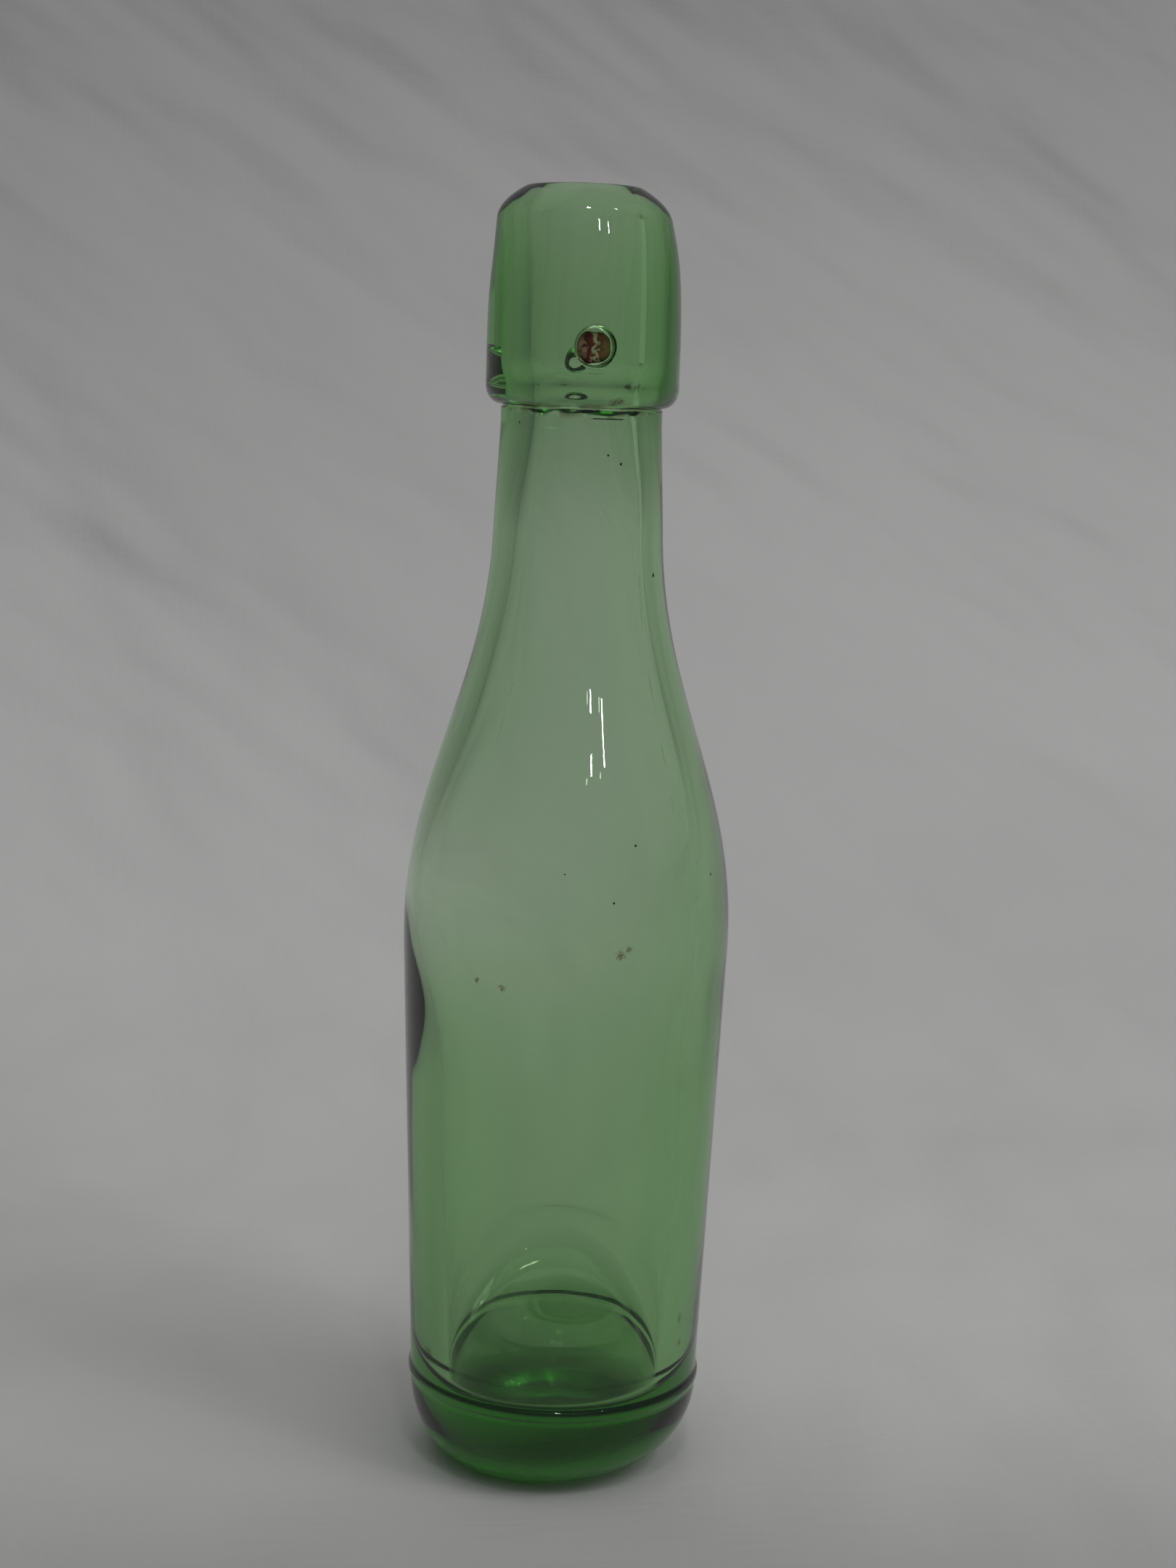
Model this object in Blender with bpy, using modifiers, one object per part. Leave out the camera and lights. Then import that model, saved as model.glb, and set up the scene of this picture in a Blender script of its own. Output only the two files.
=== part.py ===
"""Swing-top soda bottle in green glass: a mould-blown body, the lip laid on its neck, and the rust
left in the two wire pivots. Metres, +Z up, origin at the centre of the base, the front pivot at -Y."""

from math import cos, pi, radians, sin

import bmesh
import bpy

# Heights, measured up from the resting plane or down from the rim
BOTTLE_HEIGHT = 0.2030
LIP_HEIGHT = 0.0330
NECK_LENGTH = 0.0200
BODY_HEIGHT = 0.0850
HEEL_HEIGHT = 0.0150

# Outer radii, from the neck down
NECK_TOP_RADIUS = 0.01255
NECK_FOOT_RADIUS = 0.01330
BODY_RADIUS = 0.02585
HEEL_RADIUS = 0.02330

# Glass thickness, at the foot of the neck, the belly, partway down the body, and just above the floor
NECK_WALL = 0.0036
BELLY_WALL = 0.0029
BODY_WALL = 0.0056
BASE_WALL = 0.0062
FLOOR_THICKNESS = 0.0145
BELLY_HEIGHT = 0.0920
BODY_WALL_HEIGHT = 0.0640

# Base
HEEL_ROUND = 0.0100
BEARING_WIDTH = 0.0027
PUSH_UP_DEPTH = 0.0025
HEEL_RING_WIDTH = 0.0018
HEEL_RING_PROUD = 0.0004
FLOOR_ROUND = 0.0030

# Lip, with its flat land round the mouth. A slope is the radius gained per height lost.
LIP_RADIUS = 0.0150
LIP_SHOULDER_RADIUS = 0.0135
LIP_BULGE_HEIGHT = 0.0080
CROWN_HEIGHT = 0.0048
CROWN_SLOPE = 1.0
SIDE_SLOPE = 0.16
LAND_WIDTH = 0.0006
MOUTH_ROUND = 0.0005
COLLAR_ROUND_WIDTH = 0.0024
COLLAR_ROUND_HEIGHT = 0.0030

# Bore: the plug-formed mouth, and the narrow place where the lip meets the neck
BORE_RADIUS = 0.0084
CHOKE_RADIUS = 0.0074
CHOKE_LENGTH = 0.0070
CHOKE_FLARE = 0.10

# The neck's end stands inside the lip
NECK_END_WALL = 0.0022
NECK_END_LENGTH = 0.0160
GAP = 0.0003

# Wire pivots
DIMPLE_RADIUS = 0.00295
DIMPLE_DEPTH = 0.0030
DIMPLE_ROUND = 0.0009
FRONT_DIMPLE_DROP = 0.0242
REAR_DIMPLE_DROP = 0.0271
RUST_THICKNESS = 0.0014
RUST_CROWN = 0.0004

# Fineness
TURN_STEPS = 48
DIMPLE_STEPS = 24
CURVE_STEPS = 14
ROUND_STEPS = 6
MERGE_DISTANCE = 0.00001
SHARP_ANGLE = radians(40)

NECK_TOP = BOTTLE_HEIGHT - LIP_HEIGHT
NECK_FOOT = NECK_TOP - NECK_LENGTH


def arc(centre, radius, height, start, end, steps=ROUND_STEPS):
    """Points on an ellipse round centre, with angles in degrees from straight up towards +X."""
    turn = (radians(start + (end - start) * i / steps) for i in range(steps + 1))
    return [(centre[0] + radius * sin(a), centre[1] + height * cos(a)) for a in turn]


def sweep(start, end, start_slope, end_slope, reach=(0.4, 0.4), steps=CURVE_STEPS):
    """Points on a cubic curve from start down to end. A slope is the radius gained per height lost."""
    above, below = (share * (start[1] - end[1]) for share in reach)
    first = (start[0] + start_slope * above, start[1] - above)
    last = (end[0] - end_slope * below, end[1] + below)
    points = []
    for i in range(steps + 1):
        t = i / steps
        weights = ((1 - t) ** 3, 3 * t * (1 - t) ** 2, 3 * t**2 * (1 - t), t**3)
        knots = (start, first, last, end)
        points.append(tuple(sum(w * k[axis] for w, k in zip(weights, knots)) for axis in (0, 1)))
    return points


def joined(*stretches):
    """One outline from several, without the point where one stretch meets the next."""
    outline = []
    for point in (p for stretch in stretches for p in stretch):
        if not outline or max(abs(point[0] - outline[-1][0]), abs(point[1] - outline[-1][1])) > 1e-6:
            outline.append(point)
    return outline


def turned(name, outline, collection, steps=TURN_STEPS, closed=True):
    """A solid of revolution about Z, from an outline that runs down its outer side."""
    shape = bmesh.new()
    verts = [shape.verts.new((x, 0, z)) for x, z in outline]
    ends = zip(verts, verts[1:] + verts[:1]) if closed else zip(verts, verts[1:])
    for a, b in ends:
        shape.edges.new((a, b))
    mesh = bpy.data.meshes.new(name)
    shape.to_mesh(mesh)
    shape.free()
    piece = bpy.data.objects.new(name, mesh)
    collection.objects.link(piece)
    screw = piece.modifiers.new("Turn", "SCREW")
    screw.axis = "Z"
    screw.steps = steps
    screw.render_steps = steps
    screw.use_merge_vertices = True
    screw.merge_threshold = MERGE_DISTANCE
    return piece


def material(name, colour, roughness, transmission=0.0, ior=1.5):
    """A Principled material with the piece's own colour."""
    made = bpy.data.materials.new(name)
    made.use_nodes = True
    shader = made.node_tree.nodes["Principled BSDF"]
    shader.inputs["Base Color"].default_value = (*colour, 1)
    shader.inputs["Roughness"].default_value = roughness
    shader.inputs["Metallic"].default_value = 0
    shader.inputs["Transmission Weight"].default_value = transmission
    shader.inputs["IOR"].default_value = ior
    made.diffuse_color = (*colour, 1)
    return made


def neck_slope():
    return (NECK_FOOT_RADIUS - NECK_TOP_RADIUS) / NECK_LENGTH


def body_slope():
    """Negative, because the body narrows towards the heel."""
    return (HEEL_RADIUS - BODY_RADIUS) / (BODY_HEIGHT - HEEL_HEIGHT)


def body_outside():
    """From the seat under the lip down to the middle of the base."""
    seat = NECK_TOP - GAP
    neck_end = BORE_RADIUS + NECK_END_WALL
    half_ring = HEEL_RING_WIDTH / 2
    heel_top = (HEEL_RADIUS, HEEL_HEIGHT)
    bearing_outer = HEEL_RADIUS - HEEL_ROUND
    bearing_inner = bearing_outer - BEARING_WIDTH
    return joined(
        [(BORE_RADIUS, seat + NECK_END_LENGTH), (neck_end, seat + NECK_END_LENGTH)],
        [(neck_end, seat), (NECK_TOP_RADIUS, seat)],
        sweep(
            (NECK_FOOT_RADIUS, NECK_FOOT), (BODY_RADIUS, BODY_HEIGHT), neck_slope(), body_slope()
        ),
        [(HEEL_RADIUS - body_slope() * half_ring, HEEL_HEIGHT + half_ring)],
        arc(heel_top, HEEL_RING_PROUD, half_ring * 0.7, 30, 150, 4),
        arc((bearing_outer, HEEL_HEIGHT - half_ring), HEEL_ROUND, HEEL_HEIGHT - half_ring, 90, 180, 12),
        [(bearing_inner, 0)],
        push_up(bearing_inner),
    )


def push_up(radius):
    """The underside inside the bearing ring, rising smoothly to the middle."""
    shares = [i / ROUND_STEPS for i in range(1, ROUND_STEPS + 1)]
    return [(radius * (1 - s), PUSH_UP_DEPTH * (1 - cos(pi * s)) / 2) for s in shares]


def outside_at(height):
    """The body's radius on its straight taper, between the heel and the belly."""
    return HEEL_RADIUS - body_slope() * (height - HEEL_HEIGHT)


def body_inside():
    """From the middle of the floor up to the end of the neck. The wall is thinnest at the belly."""
    floor = PUSH_UP_DEPTH + FLOOR_THICKNESS
    corner_top = floor + FLOOR_ROUND
    side = outside_at(corner_top) - BASE_WALL
    middle = (outside_at(BODY_WALL_HEIGHT) - BODY_WALL, BODY_WALL_HEIGHT)
    belly = (BODY_RADIUS - BELLY_WALL, BELLY_HEIGHT)
    neck = (NECK_FOOT_RADIUS - NECK_WALL, NECK_FOOT)
    taper = (side - middle[0]) / (BODY_WALL_HEIGHT - corner_top)
    corner = arc((side - FLOOR_ROUND, corner_top), FLOOR_ROUND, FLOOR_ROUND, 180, 90)
    shoulder = sweep(neck, belly, neck_slope(), 0, reach=(0.45, 0.25))
    waist = sweep(belly, middle, 0, taper, reach=(0.15, 0.4), steps=ROUND_STEPS)
    choke_top = (BORE_RADIUS, NECK_TOP + CHOKE_LENGTH)
    choke = (CHOKE_RADIUS, NECK_TOP)
    above = sweep(choke_top, choke, 0, 0, steps=ROUND_STEPS)
    below = sweep(choke, neck, CHOKE_FLARE, neck_slope(), steps=ROUND_STEPS)
    return joined([(0, floor)], corner, waist[::-1], shoulder[::-1], below[::-1], above[::-1])


def lip_outline():
    """From the top of the bore over the rim, down the outside and back up the socket."""
    land_inner = BORE_RADIUS + MOUTH_ROUND
    land_outer = land_inner + LAND_WIDTH
    crown_foot = BOTTLE_HEIGHT - CROWN_HEIGHT
    bulge = NECK_TOP + LIP_BULGE_HEIGHT
    corner = NECK_TOP + COLLAR_ROUND_HEIGHT
    socket = BORE_RADIUS + NECK_END_WALL + GAP
    socket_top = NECK_TOP + NECK_END_LENGTH
    rim = arc((land_inner, BOTTLE_HEIGHT - MOUTH_ROUND), MOUTH_ROUND, MOUTH_ROUND, -90, 0, 4)
    shoulder = (LIP_SHOULDER_RADIUS, crown_foot)
    crown = sweep((land_outer, BOTTLE_HEIGHT), shoulder, CROWN_SLOPE, SIDE_SLOPE, steps=ROUND_STEPS)
    side = sweep(shoulder, (LIP_RADIUS, bulge), SIDE_SLOPE, 0, steps=ROUND_STEPS)
    collar = arc(
        (LIP_RADIUS - COLLAR_ROUND_WIDTH, corner), COLLAR_ROUND_WIDTH, COLLAR_ROUND_HEIGHT, 90, 180
    )
    return joined(
        rim, crown, side, collar, [(socket, NECK_TOP), (socket, socket_top), (BORE_RADIUS, socket_top)]
    )


def dimple_outline():
    """A round-bottomed pit, from well outside the lip's widest place down to its floor."""
    mouth = LIP_RADIUS + DIMPLE_DEPTH
    floor = LIP_RADIUS - DIMPLE_DEPTH
    corner = (DIMPLE_RADIUS - DIMPLE_ROUND, floor + DIMPLE_ROUND)
    return joined(
        [(0, mouth), (DIMPLE_RADIUS, mouth)],
        arc(corner, DIMPLE_ROUND, DIMPLE_ROUND, 90, 180, 4),
        [(0, floor)],
    )


def rust_outline():
    """The rust that fills the bottom of a pit, a little crowned."""
    floor = LIP_RADIUS - DIMPLE_DEPTH + GAP
    side = DIMPLE_RADIUS - GAP
    edge = floor + RUST_THICKNESS
    corner = (side - DIMPLE_ROUND, floor + DIMPLE_ROUND)
    return joined(
        [(0, edge + RUST_CROWN), (side * 0.6, edge + RUST_CROWN * 0.7), (side, edge)],
        arc(corner, DIMPLE_ROUND, DIMPLE_ROUND, 90, 180, 4),
        [(0, floor)],
    )


def face_out(piece, drop, side):
    """Lays a shape that was turned about Z along Y, at its depth below the rim. side is -1 for the front."""
    piece.rotation_euler = (radians(-90) * side, 0, 0)
    piece.location = (0, 0, BOTTLE_HEIGHT - drop)


def cut(piece, cutter):
    boolean = piece.modifiers.new("Cut " + cutter.name, "BOOLEAN")
    boolean.operation = "DIFFERENCE"
    boolean.solver = "EXACT"
    boolean.object = cutter
    cutter.hide_render = True
    cutter.display_type = "WIRE"


def smooth(piece):
    piece.data.shade_smooth()
    piece.data.set_sharp_from_angle(angle=SHARP_ANGLE)
    for modifier in piece.modifiers:
        if modifier.type == "SCREW":
            modifier.use_smooth_shade = True


def build():
    for old in list(bpy.data.objects):
        bpy.data.objects.remove(old)
    parts = bpy.data.collections.new("swing_top_soda_bottle")
    cutters = bpy.data.collections.new("cutters")
    for collection in (parts, cutters):
        bpy.context.scene.collection.children.link(collection)

    body_glass = material("body_glass", (0.16, 0.30, 0.16), 0.05, 0.9, 1.52)
    lip_glass = material("lip_glass", (0.08, 0.26, 0.08), 0.06, 0.9, 1.52)
    rust = material("wire_rust", (0.12, 0.035, 0.015), 0.95)

    body = turned("bottle_body", joined(body_inside(), body_outside()), parts, closed=False)
    body.data.materials.append(body_glass)

    lip = turned("applied_lip", lip_outline(), parts)
    lip.data.materials.append(lip_glass)

    pivots = (("front", FRONT_DIMPLE_DROP, -1), ("rear", REAR_DIMPLE_DROP, 1))
    for name, drop, side in pivots:
        pit = turned(name + "_dimple_cutter", dimple_outline(), cutters, DIMPLE_STEPS, closed=False)
        face_out(pit, drop, side)
        cut(lip, pit)
        filling = turned(name + "_pivot_rust", rust_outline(), parts, DIMPLE_STEPS, closed=False)
        filling.data.materials.append(rust)
        face_out(filling, drop, side)

    for piece in parts.objects:
        smooth(piece)


build()
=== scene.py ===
from math import cos, hypot, pi, radians, sin, sqrt, tau

import bmesh
import bpy
from mathutils import Matrix, Vector, noise


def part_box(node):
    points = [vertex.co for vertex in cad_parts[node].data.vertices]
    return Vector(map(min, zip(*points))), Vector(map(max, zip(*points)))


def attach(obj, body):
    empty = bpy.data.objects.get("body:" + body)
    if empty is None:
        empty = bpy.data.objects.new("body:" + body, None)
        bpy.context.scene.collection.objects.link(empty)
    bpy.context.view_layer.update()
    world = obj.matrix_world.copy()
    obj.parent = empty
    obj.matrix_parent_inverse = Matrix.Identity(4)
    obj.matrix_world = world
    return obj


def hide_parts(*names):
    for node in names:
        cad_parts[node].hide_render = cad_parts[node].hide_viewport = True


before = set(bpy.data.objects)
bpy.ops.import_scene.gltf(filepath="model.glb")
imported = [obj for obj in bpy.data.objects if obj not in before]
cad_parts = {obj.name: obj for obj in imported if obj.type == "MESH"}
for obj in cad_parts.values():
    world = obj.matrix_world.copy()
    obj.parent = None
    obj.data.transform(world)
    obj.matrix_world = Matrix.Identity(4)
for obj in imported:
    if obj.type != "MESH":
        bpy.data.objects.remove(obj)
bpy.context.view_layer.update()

noise.seed_set(5)  # gives the rust the same lumps each run

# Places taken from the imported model, in metres
lipLow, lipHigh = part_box("applied_lip")
bodyLow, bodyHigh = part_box("bottle_body")
pitBoxes = {side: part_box(side + "_pivot_rust") for side in ("front", "rear")}
rimHeight = lipHigh.z
collarHeight = lipLow.z

# The direction from which the unevenness was judged, and the bottle's right side seen from there
facing = radians(-7.1)
rightward = Vector((cos(facing), sin(facing), 0))
tiny = 1e-6


# Points down a smooth curve, from start to end; a slope is the radius gained per height lost
def cubic(start, end, startSlope, endSlope, count, reach=(0.4, 0.4)):
    above, below = (share * (start[1] - end[1]) for share in reach)
    knots = (
        start,
        (start[0] + startSlope * above, start[1] - above),
        (end[0] - endSlope * below, end[1] + below),
        end,
    )
    points = []
    for i in range(count + 1):
        t = i / count
        weights = ((1 - t) ** 3, 3 * t * (1 - t) ** 2, 3 * t * t * (1 - t), t**3)
        points.append(tuple(sum(w * k[axis] for w, k in zip(weights, knots)) for axis in (0, 1)))
    return points


# Points on an ellipse, its angles in degrees from straight up towards the outside
def rounded(centre, width, height, start, end, count):
    turns = (radians(start + (end - start) * i / count) for i in range(count + 1))
    return [(centre[0] + width * sin(a), centre[1] + height * cos(a)) for a in turns]


def smoothStep(low, high, value):
    t = min(1.0, max(0.0, (value - low) / (high - low)))
    return t * t * (3 - 2 * t)


# Joins stretches of an outline, without the points that two stretches share
def chain(*stretches):
    points = []
    for point in (p for stretch in stretches for p in stretch):
        if not points or (Vector(point) - Vector(points[-1])).length > tiny:
            points.append(point)
    return points


# The radius of a falling outline at a height
def radiusAt(outline, height):
    for upper, lower in zip(outline, outline[1:]):
        if upper[1] >= height > lower[1]:
            share = (upper[1] - height) / (upper[1] - lower[1])
            return upper[0] + (lower[0] - upper[0]) * share
    return outline[-1][0]


# Turns a bmesh into a smooth object at the origin
def newPiece(name, shape, material):
    mesh = bpy.data.meshes.new(name)
    shape.to_mesh(mesh)
    shape.free()
    mesh.materials.append(material)
    mesh.shade_smooth()
    piece = bpy.data.objects.new(name, mesh)
    bpy.context.scene.collection.objects.link(piece)
    return piece


glass = dict(
    # outside, in metres
    neckLength=0.0200, neckTop=0.01255, neckFoot=0.01330,
    bodyHeight=0.0850, heelHeight=0.0150, heelRadius=0.02330,
    heelRound=0.0100, bearingWidth=0.0027, pushUp=0.0025,
    ringHalf=0.0009, ringProud=0.0004, ringAbove=1.6, ringBelow=1.3,  # the last two in ring halves
    # lip
    crownHeight=0.0048, crownFoot=0.0135, crownSlope=1.8, sideSlope=0.16, bulge=0.0080,
    land=0.0001, mouthRound=0.0005, collarWidth=0.0024, collarRound=0.0030,
    creaseDepth=0.0004, creaseDrop=0.0001, creaseFoot=0.0004, creaseStep=0.0002, creaseEnd=0.0028,
    # hollow
    neckWall=0.0036, bellyWall=0.0029, bodyWall=0.0056, baseWall=0.0062,
    bellyHeight=0.0920, bodyWallHeight=0.0640, floorHeight=0.0170, floorRound=0.0030,
    bore=0.0084, choke=0.0074, chokeLength=0.0070, chokeFlare=0.10,
    # the worn part of the underside, which blurs what is seen through it
    wornFrom=0.0030, wornTo=0.0045, wornRadius=0.021,
    steps=176,
)


# The body's radius between the heel and the belly
def taperAt(g, height):
    share = (height - g["heelHeight"]) / (g["bodyHeight"] - g["heelHeight"])
    return g["heelRadius"] + (bodyHigh.x - g["heelRadius"]) * share


# From the middle of the floor up to the mouth
def innerOutline(g):
    neckSlope = (g["neckFoot"] - g["neckTop"]) / g["neckLength"]
    cornerTop = g["floorHeight"] + g["floorRound"]
    side = taperAt(g, cornerTop) - g["baseWall"]
    middle = (taperAt(g, g["bodyWallHeight"]) - g["bodyWall"], g["bodyWallHeight"])
    belly = (bodyHigh.x - g["bellyWall"], g["bellyHeight"])
    neck = (g["neckFoot"] - g["neckWall"], collarHeight - g["neckLength"])
    taper = (side - middle[0]) / (g["bodyWallHeight"] - cornerTop)
    choke = (g["choke"], collarHeight)
    chokeTop = (g["bore"], collarHeight + g["chokeLength"])
    mouth = (g["bore"], rimHeight - g["mouthRound"])
    floorEdge = side - g["floorRound"]
    floorSteps = 12
    return chain(
        [(floorEdge * i / floorSteps, g["floorHeight"]) for i in range(floorSteps)],
        rounded((floorEdge, cornerTop), g["floorRound"], g["floorRound"], 180, 90, count=12),
        cubic(middle, (side, cornerTop), taper, taper, count=40)[::-1],
        cubic(belly, middle, 0, taper, count=28, reach=(0.30, 0.4))[::-1],
        cubic(neck, belly, neckSlope, 0, count=60, reach=(0.45, 0.28))[::-1],
        cubic(choke, neck, g["chokeFlare"], neckSlope, count=24)[::-1],
        cubic(chokeTop, choke, 0, 0, count=12)[::-1],
        cubic(mouth, chokeTop, 0, 0, count=20)[::-1],
    )


# The outside of the lip, from its flat land down to the crease under the collar
def lipSide(g):
    landInner = g["bore"] + g["mouthRound"]
    landOuter = landInner + g["land"]
    shoulder = (g["crownFoot"], rimHeight - g["crownHeight"])
    corner = (lipHigh.x - g["collarWidth"], collarHeight + g["collarRound"])
    bulge = (lipHigh.x, collarHeight + g["bulge"])
    mouth = (landInner, rimHeight - g["mouthRound"])
    return chain(
        rounded(mouth, g["mouthRound"], g["mouthRound"], -90, 0, count=8),
        cubic(
            (landOuter, rimHeight), shoulder, g["crownSlope"], g["sideSlope"], count=16, reach=(0.25, 0.4)
        ),
        cubic(shoulder, bulge, g["sideSlope"], 0, count=28),
        cubic(bulge, (lipHigh.x, corner[1]), 0, 0, count=6),
        rounded(corner, g["collarWidth"], g["collarRound"], 90, 172, count=14),
    )


# From the mouth over the rim and down the outside to the middle of the base
def outerOutline(g):
    neckSlope = (g["neckFoot"] - g["neckTop"]) / g["neckLength"]
    slope = (g["heelRadius"] - bodyHigh.x) / (g["bodyHeight"] - g["heelHeight"])
    crease = [(g["neckTop"] - g["creaseDepth"], collarHeight - g["creaseDrop"])]
    underCrease = [
        (g["neckTop"], collarHeight - g["creaseFoot"] - g["creaseStep"] * i) for i in range(12)
    ]
    neckTop = (g["neckTop"], collarHeight - g["creaseEnd"])
    neckFoot = (g["neckFoot"], collarHeight - g["neckLength"])
    belly = (bodyHigh.x, g["bodyHeight"])
    above = g["ringHalf"] * g["ringAbove"]
    ringTop = (g["heelRadius"] - slope * above, g["heelHeight"] + above)
    heelTop = g["heelHeight"] - g["ringHalf"] * g["ringBelow"]
    bearingOuter = g["heelRadius"] - g["heelRound"]
    bearingInner = bearingOuter - g["bearingWidth"]
    pushSteps = 16
    pushUp = [
        (bearingInner * (1 - i / pushSteps), g["pushUp"] * (1 - cos(pi * i / pushSteps)) / 2)
        for i in range(pushSteps + 1)
    ]
    return chain(
        lipSide(g),
        crease,
        underCrease,
        cubic(neckTop, neckFoot, neckSlope, neckSlope, count=18),
        cubic(neckFoot, belly, neckSlope, slope, count=64),
        cubic(belly, ringTop, slope, slope, count=44),
        rounded((g["heelRadius"], g["heelHeight"]), g["ringProud"], g["ringHalf"], 12, 168, count=10),
        rounded((bearingOuter, heelTop), g["heelRound"], heelTop, 90, 180, count=32),
        [(bearingOuter - g["bearingWidth"] * i / 3, 0) for i in range(4)],
        pushUp,
    )


pit = dict(
    radius=0.00295, depth=0.0030, rearDepth=0.0020,
    patch=0.0048, cuts=3, blend=0.80, boreClear=0.0020,  # the square patch that is drawn round
    rings=((0, 0), (0.28, 0.70), (0.40, 0.97), (0.52, 1.0), (0.66, 1.16), (1.0, 1.62)),
    dish=0.22, dishFrom=0.26, dishTo=0.42, wallFrom=0.36, wallTo=0.62,
)


# How far out a ring of the patch lies once it is round
def ringRadius(p, reach):
    for (a, low), (b, high) in zip(p["rings"], p["rings"][1:]):
        if reach <= b:
            return p["radius"] * (low + (high - low) * (reach - a) / (b - a))
    return p["radius"] * p["rings"][-1][1]


# How deep a ring of the patch lies: a dished floor, a steep wall and a soft edge
def pitDepth(p, reach):
    floorShare = 1 - p["dish"] * smoothStep(p["dishFrom"], p["dishTo"], reach)
    wall = 1 - smoothStep(p["wallFrom"], p["wallTo"], reach)
    return p["depth"] * floorShare * wall


# The direction of a place in the square patch, spread evenly round the square's rings
def turnInSquare(across, up):
    if max(abs(across), abs(up)) < tiny:
        return 0.0
    if abs(across) >= abs(up):
        return pi / 4 * up / across + (0 if across > 0 else pi)
    return pi / 2 - pi / 4 * across / up + (0 if up > 0 else pi)


# Presses one round pit into the lip: a square patch of finer faces is drawn round and pushed in
def sinkPit(shape, outer, g, p, side, centre):
    sign = -1 if side == "front" else 1
    deep = 1 if side == "front" else p["rearDepth"] / p["depth"]
    profile = lipSide(g)

    def inPatch(vert):
        onSide = vert[outer] > 0.5 and vert.co.y * sign > 0
        return onSide and max(abs(vert.co.x), abs(vert.co.z - centre)) < p["patch"]

    faces = [f for f in shape.faces if all(inPatch(v) for v in f.verts)]
    corners = {v for f in faces for v in f.verts}
    left, right = min(v.co.x for v in corners), max(v.co.x for v in corners)
    low, high = min(v.co.z for v in corners) - centre, max(v.co.z for v in corners) - centre
    patch = set(faces)
    edges = [e for e in shape.edges if any(f in patch for f in e.link_faces)]
    bmesh.ops.subdivide_edges(shape, edges=edges, cuts=p["cuts"], use_grid_fill=True)
    for vert in shape.verts:
        u, v = vert.co.x, vert.co.z - centre
        inside = left - tiny <= u <= right + tiny and low - tiny <= v <= high + tiny
        inBore = hypot(vert.co.x, vert.co.y) < g["bore"] + p["boreClear"]
        if vert.co.y * sign < 0 or inBore or not inside:
            continue
        across = u / (right if u > 0 else -left)
        up = v / (high if v > 0 else -low)
        reach = max(abs(across), abs(up))
        turn = turnInSquare(across, up)
        ring = ringRadius(p, reach)
        blend = smoothStep(p["blend"], 1.0, reach)
        u = (1 - blend) * ring * cos(turn) + blend * u
        v = (1 - blend) * ring * sin(turn) + blend * v
        radius = radiusAt(profile, centre + v)
        vert.co = (u, sign * (sqrt(radius * radius - u * u) - deep * pitDepth(p, reach)), centre + v)


# How hand work left the glass: the floor slopes up to the rear, the hollow lies off centre at the
# belly, the heel and crown lean, and both faces of the wall wander
floorTilt = dict(lift=0.46, bend=16.0, side=0.03, fadeHeight=0.022)
lopsided = dict(shift=-0.0008, low=0.055, peak=0.088, high=0.125, soften=0.012, levels=4, fadeIn=0.4)
skew = dict(heelRise=0.0016, heelTop=0.0125, crownShift=-0.0006, crownLength=0.012)
ripple = dict(
    outer=0.00004, inner=0.00010, turnScale=2.4, heightScale=24, apart=7,
    innerStart=0.030, fadeIn=0.01, fadeOut=0.006, inwards=0.9,
)
wavyCrease = dict(size=0.0002, drop=0.0002, near=0.0004, far=0.0016, scale=2.6, apart=Vector((3, 1, 5)))


# How far the uneven floor stands above its level, which is highest at the rear
def floorRise(t, x, y):
    across = x * cos(facing) + y * sin(facing)
    back = y * cos(facing) - x * sin(facing)
    return t["lift"] * back + t["bend"] * back * back + t["side"] * across


# Moves the hollow sideways at the belly, and eases its widest level everywhere but at the left
def thinOneSide(vert, inside, u):
    z = vert.co.z
    share = smoothStep(u["low"], u["peak"], z) * smoothStep(-u["high"], -u["peak"], -z)
    if share == 0:
        return
    outwards = Vector((vert.co.x, vert.co.y, 0)).normalized()
    lateral = outwards.dot(rightward)
    levels = [z + u["soften"] * k / u["levels"] for k in range(-u["levels"], u["levels"] + 1)]
    eased = sum(radiusAt(inside, level) for level in levels) / len(levels)
    keep = lateral * lateral if lateral < 0 else 0
    change = (eased - radiusAt(inside, z)) * (1 - keep) * smoothStep(0, u["fadeIn"], share)
    vert.co += outwards * change + rightward * u["shift"] * share


# Lifts the floor towards the rear, less and less up the wall
def slopeFloor(vert, g, t, place):
    x, y, z = place
    edge = min(1.0, (taperAt(g, z) - g["baseWall"]) / max(hypot(x, y), tiny))
    share = 1 - smoothStep(g["floorHeight"] + g["floorRound"], g["floorHeight"] + t["fadeHeight"], z)
    vert.co.z += share * floorRise(t, x * edge, y * edge)


# Lets the walls wander and waves the crease; place is where the vertex was in the true shape
def rippleWall(vert, onOutside, r, place):
    x, y, z = place
    unit = Vector((x, y, 0)) / hypot(x, y)
    spot = unit * r["turnScale"] + Vector((0, 0, z * r["heightScale"]))
    wander = noise.noise(spot + Vector((0, 0, r["apart"] * onOutside)))
    start = 0 if onOutside else r["innerStart"]
    calm = smoothStep(start, start + r["fadeIn"], z) * smoothStep(0, r["fadeOut"], rimHeight - z)
    depth = r["outer"] * (0.5 + 0.5 * wander) if onOutside else r["inner"] * wander
    vert.co -= unit * depth * calm
    if onOutside:
        c = wavyCrease
        near = 1 - smoothStep(c["near"], c["far"], abs(z - collarHeight + c["drop"]))
        vert.co.z += near * c["size"] * noise.noise(unit * c["scale"] + c["apart"])


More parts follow.
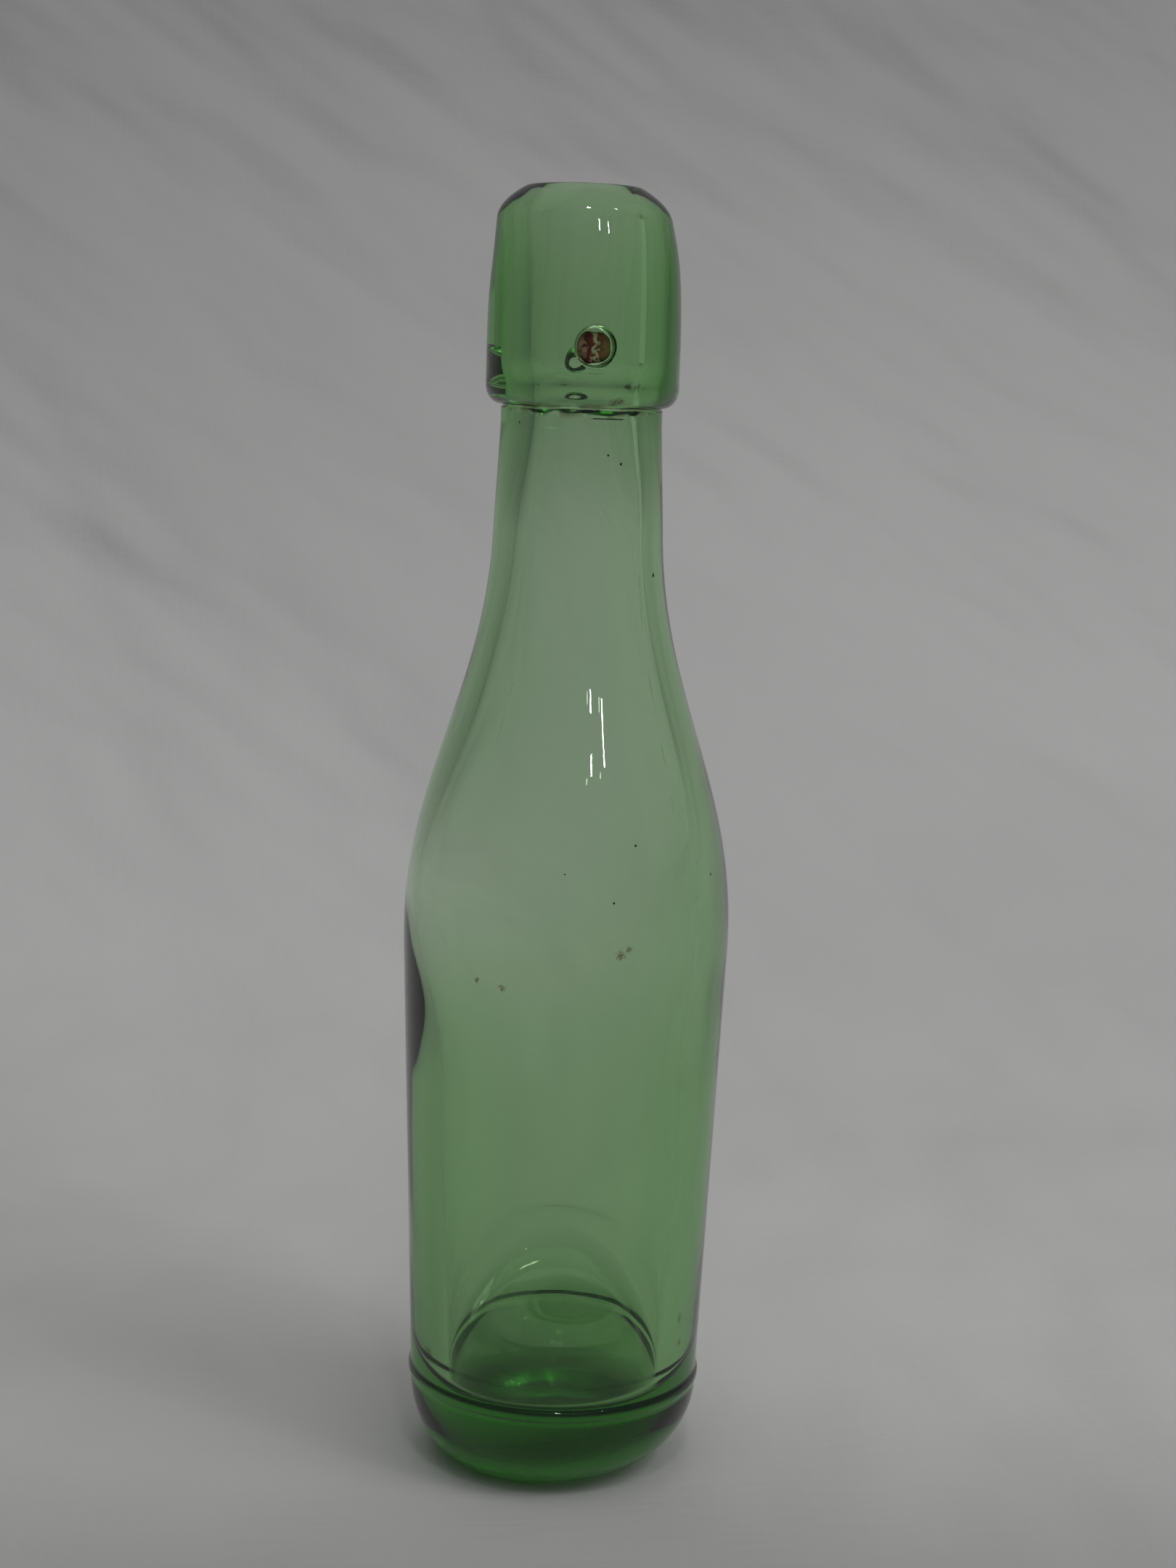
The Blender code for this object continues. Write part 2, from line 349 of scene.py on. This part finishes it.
def unsettle(shape, outer, g):
    inside = innerOutline(g)[::-1]
    bearing = g["heelRadius"] - g["heelRound"]
    for vert in shape.verts:
        place = tuple(vert.co)
        x, y, z = place
        onOutside = vert[outer] > 0.5
        crown = smoothStep(rimHeight - skew["crownLength"], rimHeight, z)
        vert.co += rightward * crown * skew["crownShift"]
        if onOutside and z < skew["heelTop"]:
            lateral = (x * cos(facing) + y * sin(facing)) / bearing
            vert.co.z += skew["heelRise"] * max(0, 1 + lateral) / 2 * (1 - z / skew["heelTop"])
        if not onOutside:
            thinOneSide(vert, inside, lopsided)
            slopeFloor(vert, g, floorTilt, place)
        if hypot(x, y) >= g["bore"] * ripple["inwards"]:
            rippleWall(vert, onOutside, ripple, place)


def makeBottle(g, p, material):
    shape = bmesh.new()
    outer = shape.verts.layers.float.new("outside")
    under = shape.verts.layers.float.new("underside")
    verts = []
    for points, value in ((innerOutline(g), 0.0), (outerOutline(g)[1:], 1.0)):
        for r, z in points:
            vert = shape.verts.new((r, 0, z))
            vert[outer] = value
            worn = 1 - smoothStep(g["wornFrom"], g["wornTo"], z)
            vert[under] = value * worn * (r < g["wornRadius"])
            verts.append(vert)
    edges = [shape.edges.new(pair) for pair in zip(verts, verts[1:])]
    bmesh.ops.spin(
        shape, geom=verts + edges, cent=(0, 0, 0), axis=(0, 0, 1),
        angle=tau, steps=g["steps"], use_merge=True,
    )
    bmesh.ops.remove_doubles(shape, verts=shape.verts, dist=1e-7)
    for side, (low, high) in pitBoxes.items():
        sinkPit(shape, outer, g, p, side, (low.z + high.z) / 2)
    unsettle(shape, outer, g)
    bmesh.ops.recalc_face_normals(shape, faces=shape.faces)
    return newPiece("bottleGlass", shape, material)


def shaderOf(name):
    material = bpy.data.materials.new(name)
    material.use_nodes = True
    tree = material.node_tree
    return material, tree, tree.nodes["Principled BSDF"]


def addNode(tree, kind, **settings):
    node = tree.nodes.new(kind)
    for name, value in settings.items():
        setattr(node, name, value)
    return node


# Sets a socket to a number or a colour, or links another socket to it
def feed(tree, socket, value):
    if isinstance(value, bpy.types.NodeSocket):
        tree.links.new(value, socket)
    else:
        socket.default_value = value


# One arithmetic step
def calc(tree, operation, *values):
    node = addNode(tree, "ShaderNodeMath", operation=operation)
    for socket, value in zip(node.inputs, values):
        feed(tree, socket, value)
    return node.outputs[0]


def multiplied(tree, *values):
    total = values[0]
    for value in values[1:]:
        total = calc(tree, "MULTIPLY", total, value)
    return total


# Maps low..high smoothly to start..end
def ranged(tree, value, low, high, start=0.0, end=1.0):
    node = addNode(tree, "ShaderNodeMapRange", interpolation_type="SMOOTHSTEP")
    for name, number in (
        ("Value", value), ("From Min", low), ("From Max", high), ("To Min", start), ("To Max", end)
    ):
        feed(tree, node.inputs[name], number)
    return node.outputs[0]


# How near a value is to a level: 1 up to the near distance, 0 past the far one
def closeTo(tree, value, level, near, far):
    off = calc(tree, "ABSOLUTE", calc(tree, "SUBTRACT", value, level))
    return ranged(tree, off, near, far, 1.0, 0.0)


def mixed(tree, first, second, share):
    node = addNode(tree, "ShaderNodeMix", data_type="RGBA")
    for name, value in (("A", first), ("B", second), ("Factor", share)):
        feed(tree, node.inputs[name], value)
    return node.outputs["Result"]


def bumped(tree, height, distance, strength=1.0, under=None):
    node = addNode(tree, "ShaderNodeBump")
    for name, value in (("Height", height), ("Distance", distance), ("Strength", strength)):
        feed(tree, node.inputs[name], value)
    if under is not None:
        feed(tree, node.inputs["Normal"], under)
    return node.outputs[0]


# The place on a piece, and its three coordinates
def placeOn(tree):
    place = addNode(tree, "ShaderNodeTexCoord").outputs["Object"]
    parts = addNode(tree, "ShaderNodeSeparateXYZ")
    feed(tree, parts.inputs[0], place)
    return place, *parts.outputs


# The unevenness that glass, rust and cloth share: noise, stretched and turned to suit each
def makeGrainGroup():
    group = bpy.data.node_groups.new("grain", "ShaderNodeTree")
    for name, kind in (
        ("Place", "NodeSocketVector"), ("Scale", "NodeSocketFloat"), ("Detail", "NodeSocketFloat"),
        ("Stretch", "NodeSocketVector"), ("Turn", "NodeSocketVector"),
    ):
        group.interface.new_socket(name, in_out="INPUT", socket_type=kind)
    group.interface.new_socket("Grain", in_out="OUTPUT", socket_type="NodeSocketFloat")
    given = addNode(group, "NodeGroupInput").outputs
    shift = addNode(group, "ShaderNodeMapping", vector_type="TEXTURE")
    for name, source in (("Vector", "Place"), ("Scale", "Stretch"), ("Rotation", "Turn")):
        feed(group, shift.inputs[name], given[source])
    cloud = addNode(group, "ShaderNodeTexNoise")
    feed(group, cloud.inputs["Vector"], shift.outputs[0])
    for name in ("Scale", "Detail"):
        feed(group, cloud.inputs[name], given[name])
    feed(group, addNode(group, "NodeGroupOutput").inputs["Grain"], cloud.outputs["Fac"])
    return group


grainGroup = makeGrainGroup()


# One use of the grain; stretch squeezes it along each axis and turn tips it, in degrees
def grainy(tree, place, scale, detail=2.0, stretch=(1, 1, 1), turn=0.0):
    node = addNode(tree, "ShaderNodeGroup", node_tree=grainGroup)
    for name, value in (
        ("Place", place), ("Scale", scale), ("Detail", detail),
        ("Stretch", [1 / share for share in stretch]), ("Turn", (0, radians(turn), 0)),
    ):
        feed(tree, node.inputs[name], value)
    return node.outputs["Grain"]


greenGlass = dict(
    ior=1.52, absorbed=(0.18, 0.635, 0.06, 1), density=100, wornRoughness=0.3,
    waver=0.00003, waverScale=70, waverStretch=(1, 1, 0.12),
    brown=(0.26, 0.13, 0.06, 1), black=(0.004, 0.004, 0.003, 1),
)
# Marks on the outside: degrees round from the front towards +X, height, size
specks = (
    (17.8, 0.1050, 0.00032), (-8.1, 0.1009, 0.00018), (9.1, 0.0967, 0.00018), (54.9, 0.0992, 0.00022),
    (52.3, 0.1447, 0.00030), (-55.4, 0.1673, 0.00025), (21.8, 0.1615, 0.00022), (12.2, 0.1628, 0.00022),
)
speckEdge = dict(softness=0.2, wobble=900)
stains = (
    (11.7, 0.0888, 0.0011), (14.5, 0.0896, 0.0007), (-37.9, 0.0838, 0.0006), (-28.3, 0.0831, 0.0008),
    (13.0, 0.1706, 0.0011), (17.0, 0.1708, 0.0009), (74.5, 0.1708, 0.0009), (78, 0.0240, 0.0012),
    (80, 0.0195, 0.0010), (-64.5, 0.0206, 0.0016),
)
stainEdge = dict(softness=0.9, wobble=2600)
# Dark strokes under the crease at the front: left end, right end, height, half thickness
strokes = ((-0.0016, 0.0014, 0.1693, 0.0003), (0.0, 0.0050, 0.1682, 0.00014))
strokeEdge = dict(soft=0.0004, front=0.001)
seam = dict(
    turn=37, near=0.00006, far=0.00022, low=0.096, full=0.125, stop=0.1695, end=0.170,
    scale=300, patchLow=0.40, patchHigh=0.62, strength=0.35,
)
creaseDirt = dict(
    drop=0.0001, near=0.0001, far=0.0007, scale=260, patchLow=0.44, patchHigh=0.60, strength=0.8
)


# A mask of ragged spots on the outside of the bottle
def spotsOn(tree, place, spots, softness, wobble):
    rough = grainy(tree, place, wobble, detail=3)
    outline = outerOutline(glass)
    total = 0.0
    for turn, level, size in spots:
        a, radius = radians(turn), radiusAt(outline, level)
        gap = addNode(tree, "ShaderNodeVectorMath", operation="DISTANCE")
        feed(tree, gap.inputs[0], place)
        feed(tree, gap.inputs[1], (radius * sin(a), -radius * cos(a), level))
        edge = calc(tree, "SUBTRACT", multiplied(tree, rough, 2 * size), gap.outputs["Value"])
        total = calc(tree, "MAXIMUM", total, ranged(tree, edge, 0.0, size * softness))
    return total


# The mould seam, a thin brownish line over the shoulder and neck
def seamOn(tree, place, across, back, height, s):
    a = radians(s["turn"])
    off = calc(tree, "ADD", multiplied(tree, across, cos(a)), multiplied(tree, back, sin(a)))
    line = closeTo(tree, off, 0.0, s["near"], s["far"])
    begin = ranged(tree, height, s["low"], s["full"])
    end = ranged(tree, height, s["stop"], s["end"], 1.0, 0.0)
    patchy = ranged(tree, grainy(tree, place, s["scale"]), s["patchLow"], s["patchHigh"])
    return multiplied(tree, line, begin, end, patchy)


# Dirt gathered in the crease under the lip
def dirtInCrease(tree, place, height, d):
    band = closeTo(tree, height, collarHeight - d["drop"], d["near"], d["far"])
    patchy = ranged(tree, grainy(tree, place, d["scale"], detail=3), d["patchLow"], d["patchHigh"])
    return multiplied(tree, band, patchy)


# Short dark lines on the front, with soft ends
def strokesOn(tree, across, back, height, lines, soft, front):
    onFront = ranged(tree, back, -front, front, 1.0, 0.0)
    total = 0.0
    for start, end, level, thick in lines:
        line = closeTo(tree, height, level, thick * 0.5, thick)
        begin = ranged(tree, across, start - soft, start + soft)
        stop = ranged(tree, across, end - soft, end + soft, 1.0, 0.0)
        total = calc(tree, "MAXIMUM", total, multiplied(tree, line, begin, stop, onFront))
    return total


def makeGlassMaterial(look):
    material, tree, shader = shaderOf("greenGlass")
    place, across, back, height = placeOn(tree)
    outer = addNode(tree, "ShaderNodeAttribute", attribute_name="outside").outputs["Fac"]
    under = addNode(tree, "ShaderNodeAttribute", attribute_name="underside").outputs["Fac"]
    dark = calc(
        tree, "MAXIMUM", spotsOn(tree, place, specks, **speckEdge),
        strokesOn(tree, across, back, height, strokes, **strokeEdge),
    )
    seamLine = multiplied(tree, seamOn(tree, place, across, back, height, seam), seam["strength"])
    dirt = multiplied(tree, dirtInCrease(tree, place, height, creaseDirt), creaseDirt["strength"])
    brown = calc(tree, "MAXIMUM", spotsOn(tree, place, stains, **stainEdge), seamLine)
    brown = calc(tree, "MAXIMUM", brown, dirt)
    tint = mixed(tree, (1, 1, 1, 1), look["brown"], multiplied(tree, brown, outer))
    tint = mixed(tree, tint, look["black"], multiplied(tree, dark, outer))
    waver = grainy(tree, place, look["waverScale"], stretch=look["waverStretch"])
    feed(tree, shader.inputs["Base Color"], tint)
    feed(tree, shader.inputs["Roughness"], multiplied(tree, under, look["wornRoughness"]))
    feed(tree, shader.inputs["Normal"], bumped(tree, waver, look["waver"]))
    shader.inputs["IOR"].default_value = look["ior"]
    shader.inputs["Transmission Weight"].default_value = 1.0
    depth = addNode(tree, "ShaderNodeVolumeAbsorption")
    depth.inputs["Color"].default_value = look["absorbed"]
    depth.inputs["Density"].default_value = look["density"]
    feed(tree, tree.nodes["Material Output"].inputs["Volume"], depth.outputs[0])
    return material


bottle = makeBottle(glass, pit, makeGlassMaterial(greenGlass))
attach(bottle, "root")
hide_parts("bottle_body", "applied_lip")
print("bottle", len(bottle.data.polygons), "faces")


wireRustAndPaintedLight = dict(
    grain=1100, wander=0.0034, width=0.0026, roughness=0.9, specular=0.2,
    # from left to right: pale crust, dark rust, a pale greenish gap of painted light (the lit cloth seen
    # through the pit's clear middle), rust again
    bands=(
        (0.0, (0.26, 0.20, 0.11, 1)), (0.14, (0.040, 0.012, 0.008, 1)), (0.38, (0.12, 0.035, 0.018, 1)),
        (0.47, (0.24, 0.28, 0.14, 1)), (0.57, (0.26, 0.30, 0.16, 1)), (0.66, (0.07, 0.035, 0.014, 1)),
        (1.0, (0.14, 0.11, 0.04, 1)),
    ),
)
crust = dict(
    rings=12, sides=28, lump=0.00035, rearLump=0.4, grain=700,
    fill=(0.96, 0.75, 0.96), sunk=(-0.05, 0.10, -0.03),  # shares of the pit's half sizes
    hoopMiddle=0.78, hoopWidth=0.20, hoopDepth=0.9, hoopSides=8,
)


# Rust colours across the crust, with a band of painted light in the middle: the lit cloth seen through
# the clear middle of the pit
def makeRustAndLightMaterial(look):
    material, tree, shader = shaderOf("wireRustAndPaintedLight")
    place, across = placeOn(tree)[:2]
    grain = calc(tree, "SUBTRACT", grainy(tree, place, look["grain"], detail=5), 0.5)
    ragged = calc(tree, "ADD", across, multiplied(tree, grain, look["wander"]))
    ramp = addNode(tree, "ShaderNodeValToRGB")
    feed(tree, ramp.inputs["Fac"], ranged(tree, ragged, -look["width"], look["width"]))
    bands = ramp.color_ramp.elements
    while len(bands) < len(look["bands"]):
        bands.new(0.5)
    for band, (position, colour) in zip(bands, look["bands"]):
        band.position = position
        band.color = colour
    feed(tree, shader.inputs["Base Color"], ramp.outputs["Color"])
    shader.inputs["Roughness"].default_value = look["roughness"]
    shader.inputs["Specular IOR Level"].default_value = look["specular"]
    return material


# A filled pit: a flattened ball, a little off centre
def crustLump(shape, half, c):
    bmesh.ops.create_uvsphere(shape, u_segments=c["sides"], v_segments=c["rings"], radius=1)
    bmesh.ops.scale(shape, verts=shape.verts, vec=[f * h for f, h in zip(c["fill"], half)])
    bmesh.ops.translate(shape, verts=shape.verts, vec=[s * h for s, h in zip(c["sunk"], half)])


# An emptier pit: a hoop of rust round its edge
def crustHoop(shape, half, c):
    turns = [tau * i / c["hoopSides"] for i in range(c["hoopSides"])]
    outline = [
        shape.verts.new(
            (half.x * (c["hoopMiddle"] + c["hoopWidth"] * cos(a)), half.y * c["hoopDepth"] * sin(a), 0)
        )
        for a in turns
    ]
    edges = [shape.edges.new((outline[i - 1], outline[i])) for i in range(len(outline))]
    bmesh.ops.spin(
        shape, geom=outline + edges, cent=(0, 0, 0), axis=(0, 1, 0),
        angle=tau, steps=c["sides"], use_merge=True,
    )
    bmesh.ops.remove_doubles(shape, verts=shape.verts, dist=1e-7)
    bmesh.ops.recalc_face_normals(shape, faces=shape.faces)


# The crust left in one pit, lumpy and kept inside the pit
def makeRust(side, c, material):
    low, high = pitBoxes[side]
    half = (high - low) / 2
    shape = bmesh.new()
    if side == "front":
        crustLump(shape, half, c)
    else:
        crustHoop(shape, half, c)
    lump = c["lump"] * (1 if side == "front" else c["rearLump"])
    for vert in shape.verts:
        vert.co += noise.noise_vector(vert.co * c["grain"]) * lump
        vert.co = [max(-h, min(h, v)) for v, h in zip(vert.co, half)]
    bmesh.ops.translate(shape, verts=shape.verts, vec=(low + high) / 2)
    rust = newPiece(side + "RustCrust", shape, material)
    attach(rust, "root")
    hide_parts(side + "_pivot_rust")


rustAndLightMaterial = makeRustAndLightMaterial(wireRustAndPaintedLight)
for side in pitBoxes:
    makeRust(side, crust, rustAndLightMaterial)
print("rust in", len(pitBoxes), "pits")


view = dict(distance=0.3887, height=0.1700, azimuth=-7.1, pitch=8.645, yaw=0.41, roll=1.80, focal=57.0)


def makeCamera(v):
    data = bpy.data.cameras.new("camera")
    data.lens = v["focal"]
    data.sensor_width = 36
    data.clip_start = 0.01
    data.clip_end = 20
    camera = bpy.data.objects.new("camera", data)
    a = radians(v["azimuth"])
    place = Matrix.Translation((v["distance"] * sin(a), -v["distance"] * cos(a), v["height"]))
    turn = Matrix.Rotation(a - radians(v["yaw"]), 4, "Z")
    tip = Matrix.Rotation(radians(90 - v["pitch"]), 4, "X")
    roll = Matrix.Rotation(radians(v["roll"]), 4, "Z")
    camera.matrix_world = place @ turn @ tip @ roll
    bpy.context.scene.collection.objects.link(camera)
    bpy.context.scene.camera = camera


cloth = dict(
    width=3.0, front=1.2, back=0.16, bend=0.45, height=1.6,
    grey=(0.60, 0.59, 0.58, 1), shade=(0.40, 0.395, 0.39, 1), roughness=0.95, specular=0.05,
    # painted shade: where the tone falls off, upwards, forwards and to the left; the folds' tone is
    # painted shade too
    topShade=(0.02, 0.42), frontShade=(0.03, -0.09), leftShade=(0.02, -0.30), leftShadeShare=0.15,
    foldScale=4, foldStretch=(0.45, 0.5, 1.3), foldTurn=35, foldRange=(0.25, 0.75),
    foldShadeShare=0.34, foldDepth=0.022,
    weaveScale=500, warp=(1, 0.15, 0.15), weft=(0.15, 1, 1), weaveDepth=0.0002, weaveStrength=0.5,
)


# Pale cloth: a faint weave, slack folds, and painted shade that darkens it towards the top, the front and
# the left and along the folds
def makeCloth(c):
    material, tree, shader = shaderOf("paleCloth")
    place, across, back, height = placeOn(tree)
    top = ranged(tree, height, *c["topShade"])
    front = ranged(tree, back, *c["frontShade"])
    left = ranged(tree, across, *c["leftShade"])
    folds = grainy(
        tree, place, c["foldScale"], detail=4, stretch=c["foldStretch"], turn=c["foldTurn"]
    )
    slack = ranged(tree, folds, *c["foldRange"])
    # painted shade: darker towards the top, the front and the left, plus painted fold shading
    paintedShade = calc(tree, "MAXIMUM", top, front)
    paintedShade = calc(tree, "ADD", paintedShade, multiplied(tree, left, c["leftShadeShare"]))
    paintedShade = calc(tree, "ADD", paintedShade, multiplied(tree, slack, c["foldShadeShare"]))
    warp = grainy(tree, place, c["weaveScale"], detail=1, stretch=c["warp"])
    weft = grainy(tree, place, c["weaveScale"], detail=1, stretch=c["weft"])
    weave = bumped(tree, calc(tree, "ADD", warp, weft), c["weaveDepth"], c["weaveStrength"])
    feed(tree, shader.inputs["Base Color"], mixed(tree, c["grey"], c["shade"], paintedShade))
    feed(tree, shader.inputs["Normal"], bumped(tree, slack, c["foldDepth"], under=weave))
    shader.inputs["Roughness"].default_value = c["roughness"]
    shader.inputs["Specular IOR Level"].default_value = c["specular"]
    return material


# One seamless sheet: flat under the bottle, bent up behind it
def makeBackdrop(c):
    shape = bmesh.new()
    turns = [radians(a) for a in range(0, 91, 3)]
    bend = [(c["back"] + c["bend"] * sin(a), c["bend"] * (1 - cos(a))) for a in turns]
    path = [(-c["front"], 0), (0, 0)] + bend + [(c["back"] + c["bend"], c["height"])]
    verts = [shape.verts.new((-c["width"] / 2, y, z)) for y, z in path]
    edges = [shape.edges.new(pair) for pair in zip(verts, verts[1:])]
    made = bmesh.ops.extrude_edge_only(shape, edges=edges)
    moved = [v for v in made["geom"] if isinstance(v, bmesh.types.BMVert)]
    bmesh.ops.translate(shape, verts=moved, vec=(c["width"], 0, 0))
    bmesh.ops.recalc_face_normals(shape, faces=shape.faces)
    newPiece("backdrop", shape, makeCloth(c))


shoulderHeight = 0.12


# A place seen from the bottle's shoulder: degrees round from the front, and degrees up
def aimed(turn, rise, distance):
    a, e = radians(turn), radians(rise)
    out = distance * cos(e)
    return (out * sin(a), -out * cos(a), shoulderHeight + distance * sin(e))


# The first four are small and show as glints in the glass; the others only light the scene
lamps = dict(
    windowLeft=dict(place=aimed(11, 26, 1.0), aim=(0, 0, 0.12), size=(0.018, 0.025), power=0.08),
    windowRight=dict(place=aimed(22.8, 26, 1.0), aim=(0, 0, 0.12), size=(0.018, 0.025), power=0.08),
    sideWindow=dict(place=aimed(45, 50, 1.0), aim=(0, 0, 0.19), size=(0.04, 0.06), power=0.25),
    highLamp=dict(place=aimed(-1, 53, 1.0), aim=(0, 0, 0.20), size=(0.07, 0.09), power=0.6),
    key=dict(place=aimed(52, 46, 1.6), aim=(0, 0.05, 0.05), size=(0.7, 0.7), power=4.6, seen=False),
    softFront=dict(place=(0.0, -0.9, 1.6), aim=(0, 0.1, 0), size=(1.4, 1.4), power=5.6, seen=False),
    softTop=dict(place=(-0.2, 0.3, 1.7), aim=(0, 0.2, 0), size=(1.2, 1.2), power=4.2, seen=False),
    rightFill=dict(place=(1.0, 0.1, 0.6), aim=(0, 0, 0.1), size=(1.4, 1.1), power=0.9, seen=False),
)
room = dict(colour=(0.92, 0.95, 1.0, 1), strength=0.20)


def makeLamp(name, place, aim, size, power, seen=True):
    data = bpy.data.lights.new(name, "AREA")
    data.shape = "RECTANGLE"
    data.size, data.size_y = size
    data.energy = power
    lamp = bpy.data.objects.new(name, data)
    lamp.location = place
    lamp.rotation_euler = (Vector(aim) - Vector(place)).to_track_quat("-Z", "Y").to_euler()
    lamp.visible_glossy = seen
    bpy.context.scene.collection.objects.link(lamp)


def makeWorld(colour, strength):
    world = bpy.data.worlds.new("room")
    world.use_nodes = True
    back = world.node_tree.nodes["Background"]
    back.inputs["Color"].default_value = colour
    back.inputs["Strength"].default_value = strength
    bpy.context.scene.world = world


makeCamera(view)
makeBackdrop(cloth)
for name, settings in lamps.items():
    makeLamp(name, **settings)
makeWorld(**room)
bpy.context.scene.view_settings.view_transform = "Standard"
print("camera, cloth and", len(lamps), "lamps")
